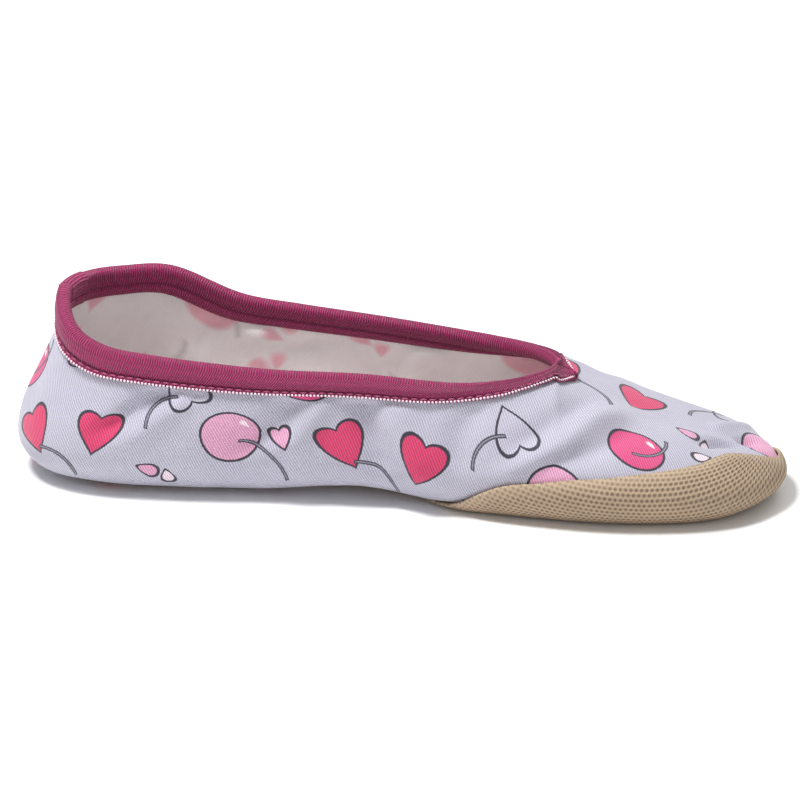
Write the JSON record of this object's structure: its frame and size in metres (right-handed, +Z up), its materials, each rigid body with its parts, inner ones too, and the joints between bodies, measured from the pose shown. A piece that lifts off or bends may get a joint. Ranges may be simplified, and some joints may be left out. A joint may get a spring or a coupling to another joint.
{
  "type": "gymnastics shoe",
  "caption": "Low slip-on gymnastics shoe with a soft one-piece fabric upper, an elastic-bound collar and a thin rubber sole wrapped up round the toe.",
  "frame": {"origin": "on the floor plane at the middle of the shoe's length and width", "axes": "+X along the shoe towards the toe, +Y to the left side seen from the heel, +Z up from the floor"},
  "size_m": [0.196, 0.0654, 0.0485],
  "materials": {
    "outsole": "matt beige rubber, dimpled all over",
    "upper": "lilac-grey ribbed stretch knit with a small fruit and heart print",
    "insole": "off-white cloth",
    "collar_binding": "raspberry elastic tape, finely ribbed"
  },
  "bodies": {
    "root": {"outsole": "outsole", "upper": "upper", "insole": "insole", "collar_binding": "collar_binding"}
  },
  "joints": []
}
